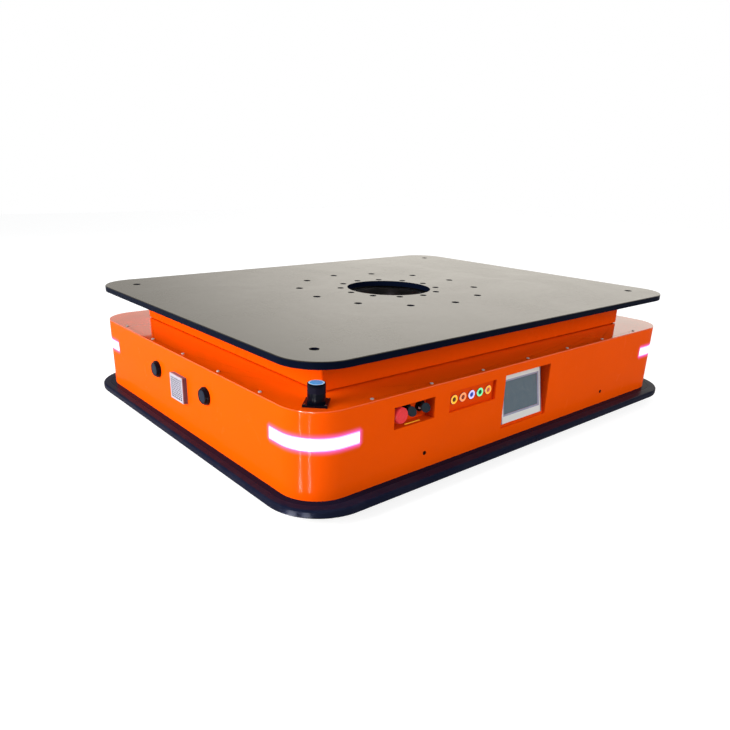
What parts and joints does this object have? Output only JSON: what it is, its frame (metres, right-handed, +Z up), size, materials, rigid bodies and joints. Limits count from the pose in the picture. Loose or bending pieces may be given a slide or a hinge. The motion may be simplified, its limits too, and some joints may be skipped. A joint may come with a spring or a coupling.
{
  "type": "autonomous mobile robot",
  "caption": "Low autonomous mobile robot: orange wheeled body with a bumper ring, corner scanners and control recesses, lifting and turning a flat black payload deck.",
  "frame": {"origin": "on the floor under the middle of the robot", "axes": "+X along the long side, away from the sounder; +Y across, away from the control recesses; +Z up"},
  "size_m": [1.572, 1.252, 0.365],
  "materials": {
    "orange_paint": "glossy orange powder coat",
    "deck_black": "black anodised plate, satin",
    "frame_steel": "black powder coat",
    "ledge_black": "gloss black paint",
    "bumper_rubber": "smooth black rubber",
    "light_diffuser": "white lit diffuser",
    "screw_steel": "zinc plated",
    "bezel_silver": "satin silver",
    "screen_glass": "dark display",
    "estop_red": "red plastic",
    "switch_black": "black plastic",
    "button_metal": "bright metal ring",
    "sounder_grey": "light grey plastic",
    "scanner_black": "black housing",
    "scanner_window": "dark infrared window",
    "scanner_blue": "blue cap",
    "steel": "machined steel",
    "bronze": "bearing bronze",
    "motor_grey": "grey paint",
    "battery_case": "blue grey paint",
    "tyre": "polyurethane tyre",
    "hub_alloy": "cast alloy"
  },
  "bodies": {
    "chassis": {"base_plate": "ledge_black", "chassis_frame": "frame_steel", "bumper_left": "bumper_rubber", "bumper_right": "bumper_rubber", "body_shell": "orange_paint", "corner_lights": "light_diffuser", "top_cover": "orange_paint", "cover_screws": "screw_steel", "control_trays": "orange_paint", "hmi_bezel": "bezel_silver", "hmi_screen": "screen_glass", "estop_base": "switch_black", "selector_bases": "switch_black", "button_bezels": "button_metal", "sounder": "sounder_grey", "side_sensors": "switch_black", "scanner_bases": "scanner_black", "scanner_windows": "scanner_window", "scanner_caps": "scanner_blue", "drive_gearmotors": "motor_grey", "battery_pack": "battery_case", "control_box": "motor_grey", "guide_posts": "steel", "lift_jacks": "motor_grey"},
    "lift": {"lift_skirt": "orange_paint", "lift_frame": "frame_steel", "ball_nuts": "steel", "guide_bushes": "bronze", "slew_inner_race": "steel", "turn_motor": "motor_grey"},
    "deck": {"deck_plate": "deck_black", "slew_outer_race": "steel", "deck_screws": "screw_steel"},
    "ball_cage": {"slew_ball_cage": "steel"},
    "pinion": {"turn_pinion": "steel"},
    "jack_screw_left": {"ball_screw_left": "steel"},
    "jack_screw_right": {"ball_screw_right": "steel"},
    "drive_wheel_left": {"drive_hub_left": "hub_alloy", "drive_tyre_left": "tyre"},
    "drive_wheel_right": {"drive_hub_right": "hub_alloy", "drive_tyre_right": "tyre"},
    "caster_swivel_front_left": {"caster_fork_front_left": "steel"},
    "caster_roller_front_left": {"caster_wheel_front_left": "tyre"},
    "caster_swivel_front_right": {"caster_fork_front_right": "steel"},
    "caster_roller_front_right": {"caster_wheel_front_right": "tyre"},
    "caster_swivel_rear_left": {"caster_fork_rear_left": "steel"},
    "caster_roller_rear_left": {"caster_wheel_rear_left": "tyre"},
    "caster_swivel_rear_right": {"caster_fork_rear_right": "steel"},
    "caster_roller_rear_right": {"caster_wheel_rear_right": "tyre"},
    "estop_stem": {"estop_plunger": "switch_black"},
    "estop_mushroom": {"estop_head": "estop_red"},
    "selector_left": {"selector_knob_left": "switch_black"},
    "selector_right": {"selector_knob_right": "switch_black"},
    "button_1": {"push_button_1": "button_metal"},
    "button_2": {"push_button_2": "button_metal"},
    "button_3": {"push_button_3": "button_metal"},
    "button_4": {"push_button_4": "button_metal"},
    "button_5": {"push_button_5": "button_metal"},
    "scanner_head_left": {"scanner_rotor_left": "hub_alloy"},
    "scanner_head_right": {"scanner_rotor_right": "hub_alloy"}
  },
  "joints": [
    {"name": "lift_slide", "type": "slide", "parent": "chassis", "child": "lift", "axis": [0, 0, 1], "range_m": [0, 0.06]},
    {"name": "deck_turn", "type": "hinge", "parent": "lift", "child": "deck", "pos_m": [0, 0, 0.348], "axis": [0, 0, 1], "continuous": true},
    {"name": "cage_turn", "type": "hinge", "parent": "lift", "child": "ball_cage", "pos_m": [0, 0, 0.3295], "axis": [0, 0, 1], "continuous": true},
    {"name": "pinion_turn", "type": "hinge", "parent": "lift", "child": "pinion", "pos_m": [0.2163, 0, 0.328], "axis": [0, 0, 1], "continuous": true},
    {"name": "screw_turn_left", "type": "hinge", "parent": "chassis", "child": "jack_screw_left", "pos_m": [-0.4, 0, 0.2], "axis": [0, 0, 1], "continuous": true},
    {"name": "screw_turn_right", "type": "hinge", "parent": "chassis", "child": "jack_screw_right", "pos_m": [0.4, 0, 0.2], "axis": [0, 0, 1], "continuous": true},
    {"name": "drive_turn_left", "type": "hinge", "parent": "chassis", "child": "drive_wheel_left", "pos_m": [0, -0.47, 0.1], "axis": [0, 1, 0], "continuous": true},
    {"name": "drive_turn_right", "type": "hinge", "parent": "chassis", "child": "drive_wheel_right", "pos_m": [0, 0.47, 0.1], "axis": [0, 1, 0], "continuous": true},
    {"name": "caster_swivel_turn_front_left", "type": "hinge", "parent": "chassis", "child": "caster_swivel_front_left", "pos_m": [-0.62, -0.44, 0.11], "axis": [0, 0, 1], "continuous": true},
    {"name": "caster_roll_front_left", "type": "hinge", "parent": "caster_swivel_front_left", "child": "caster_roller_front_left", "pos_m": [-0.655, -0.44, 0.05], "axis": [0, 1, 0], "continuous": true},
    {"name": "caster_swivel_turn_front_right", "type": "hinge", "parent": "chassis", "child": "caster_swivel_front_right", "pos_m": [0.62, -0.44, 0.11], "axis": [0, 0, 1], "continuous": true},
    {"name": "caster_roll_front_right", "type": "hinge", "parent": "caster_swivel_front_right", "child": "caster_roller_front_right", "pos_m": [0.585, -0.44, 0.05], "axis": [0, 1, 0], "continuous": true},
    {"name": "caster_swivel_turn_rear_left", "type": "hinge", "parent": "chassis", "child": "caster_swivel_rear_left", "pos_m": [-0.62, 0.44, 0.11], "axis": [0, 0, 1], "continuous": true},
    {"name": "caster_roll_rear_left", "type": "hinge", "parent": "caster_swivel_rear_left", "child": "caster_roller_rear_left", "pos_m": [-0.655, 0.44, 0.05], "axis": [0, 1, 0], "continuous": true},
    {"name": "caster_swivel_turn_rear_right", "type": "hinge", "parent": "chassis", "child": "caster_swivel_rear_right", "pos_m": [0.62, 0.44, 0.11], "axis": [0, 0, 1], "continuous": true},
    {"name": "caster_roll_rear_right", "type": "hinge", "parent": "caster_swivel_rear_right", "child": "caster_roller_rear_right", "pos_m": [0.585, 0.44, 0.05], "axis": [0, 1, 0], "continuous": true},
    {"name": "estop_press", "type": "slide", "parent": "chassis", "child": "estop_stem", "axis": [0, 1, 0], "range_m": [0, 0.005]},
    {"name": "estop_twist", "type": "hinge", "parent": "estop_stem", "child": "estop_mushroom", "pos_m": [-0.48, -0.57, 0.202], "axis": [0, 1, 0], "range_deg": [0, 45], "stiffness_Nm_per_rad": 0.05, "springref_deg": -11.46},
    {"name": "selector_turn_left", "type": "hinge", "parent": "chassis", "child": "selector_left", "pos_m": [-0.441, -0.56, 0.202], "axis": [0, 1, 0], "range_deg": [-90, 0]},
    {"name": "selector_turn_right", "type": "hinge", "parent": "chassis", "child": "selector_right", "pos_m": [-0.395, -0.56, 0.202], "axis": [0, 1, 0], "range_deg": [-90, 0]},
    {"name": "button_press_1", "type": "slide", "parent": "chassis", "child": "button_1", "axis": [0, 1, 0], "range_m": [0, 0.0025], "stiffness_N_per_m": 800, "springref_m": -0.001},
    {"name": "button_press_2", "type": "slide", "parent": "chassis", "child": "button_2", "axis": [0, 1, 0], "range_m": [0, 0.0025], "stiffness_N_per_m": 800, "springref_m": -0.001},
    {"name": "button_press_3", "type": "slide", "parent": "chassis", "child": "button_3", "axis": [0, 1, 0], "range_m": [0, 0.0025], "stiffness_N_per_m": 800, "springref_m": -0.001},
    {"name": "button_press_4", "type": "slide", "parent": "chassis", "child": "button_4", "axis": [0, 1, 0], "range_m": [0, 0.0025], "stiffness_N_per_m": 800, "springref_m": -0.001},
    {"name": "button_press_5", "type": "slide", "parent": "chassis", "child": "button_5", "axis": [0, 1, 0], "range_m": [0, 0.0025], "stiffness_N_per_m": 800, "springref_m": -0.001},
    {"name": "scanner_spin_left", "type": "hinge", "parent": "chassis", "child": "scanner_head_left", "pos_m": [-0.679, -0.52, 0.28], "axis": [0, 0, 1], "continuous": true},
    {"name": "scanner_spin_right", "type": "hinge", "parent": "chassis", "child": "scanner_head_right", "pos_m": [0.679, 0.52, 0.28], "axis": [0, 0, 1], "continuous": true}
  ],
  "couplings": [
    {"joint": "cage_turn", "follows": "deck_turn", "ratio": 0.5},
    {"joint": "pinion_turn", "follows": "deck_turn", "ratio": -5},
    {"joint": "screw_turn_left", "follows": "lift_slide", "rad_per_m": 314.16},
    {"joint": "screw_turn_right", "follows": "lift_slide", "rad_per_m": 314.16}
  ]
}
